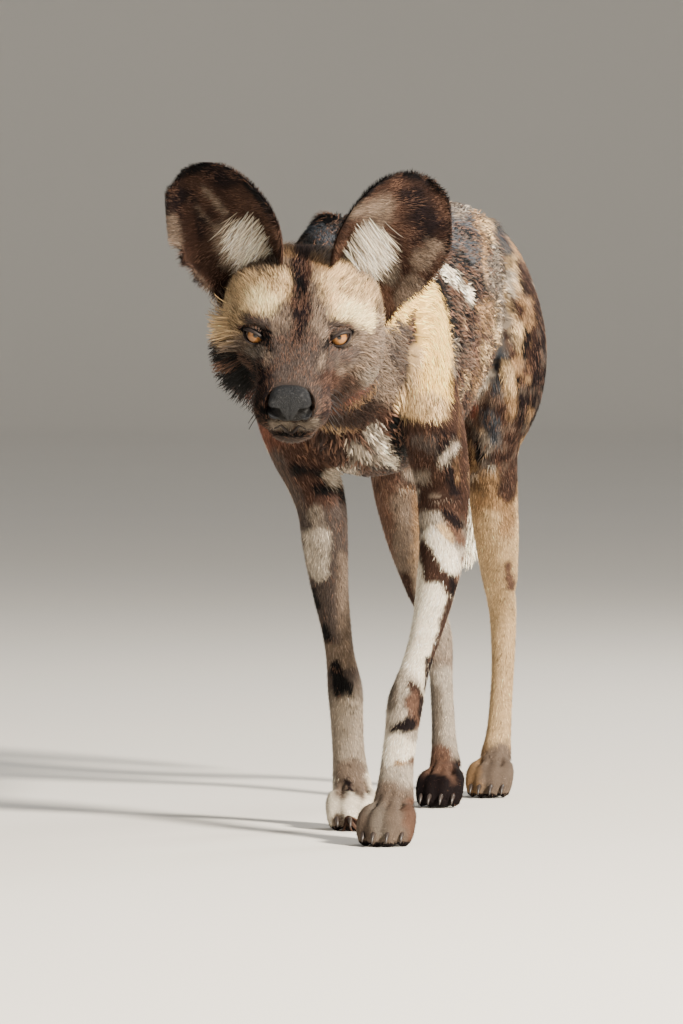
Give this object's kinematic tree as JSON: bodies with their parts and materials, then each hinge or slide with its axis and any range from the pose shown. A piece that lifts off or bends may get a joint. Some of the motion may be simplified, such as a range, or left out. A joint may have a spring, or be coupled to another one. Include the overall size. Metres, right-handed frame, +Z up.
{
  "type": "african wild dog model",
  "caption": "Life-size African wild dog walking with its head low and its large round ears raised, divided into named body parts.",
  "frame": {"origin": "on the floor, under the middle of the model's bounding box", "axes": "+Z up, the dog faces -Y, its left side is +X"},
  "size_m": [0.2915, 1.184, 0.7129],
  "materials": {
    "head_look": "short coarse fur",
    "nose_look": "damp, finely grained skin",
    "eye_left_look": "wet, clear",
    "eye_right_look": "wet, clear",
    "ear_left_look": "short coarse fur",
    "ear_right_look": "short coarse fur",
    "neck_look": "short coarse fur",
    "chest_look": "short coarse fur",
    "hindquarters_look": "short coarse fur",
    "tail_base_look": "short coarse fur",
    "tail_brush_look": "short coarse fur",
    "upper_arm_left_look": "short coarse fur",
    "upper_arm_right_look": "short coarse fur",
    "forearm_left_look": "short coarse fur",
    "forearm_right_look": "short coarse fur",
    "thigh_left_look": "short coarse fur",
    "thigh_right_look": "short coarse fur",
    "shank_left_look": "short coarse fur",
    "shank_right_look": "short coarse fur",
    "forepaw_left_look": "short coarse fur",
    "forepaw_right_look": "short coarse fur",
    "hindpaw_left_look": "short coarse fur",
    "hindpaw_right_look": "short coarse fur"
  },
  "bodies": {
    "root": {"head": "head_look", "nose": "nose_look", "eye_left": "eye_left_look", "eye_right": "eye_right_look", "ear_left": "ear_left_look", "ear_right": "ear_right_look", "neck": "neck_look", "chest": "chest_look", "hindquarters": "hindquarters_look", "tail_base": "tail_base_look", "tail_brush": "tail_brush_look", "upper_arm_left": "upper_arm_left_look", "upper_arm_right": "upper_arm_right_look", "forearm_left": "forearm_left_look", "forearm_right": "forearm_right_look", "thigh_left": "thigh_left_look", "thigh_right": "thigh_right_look", "shank_left": "shank_left_look", "shank_right": "shank_right_look", "forepaw_left": "forepaw_left_look", "forepaw_right": "forepaw_right_look", "hindpaw_left": "hindpaw_left_look", "hindpaw_right": "hindpaw_right_look"}
  },
  "joints": []
}
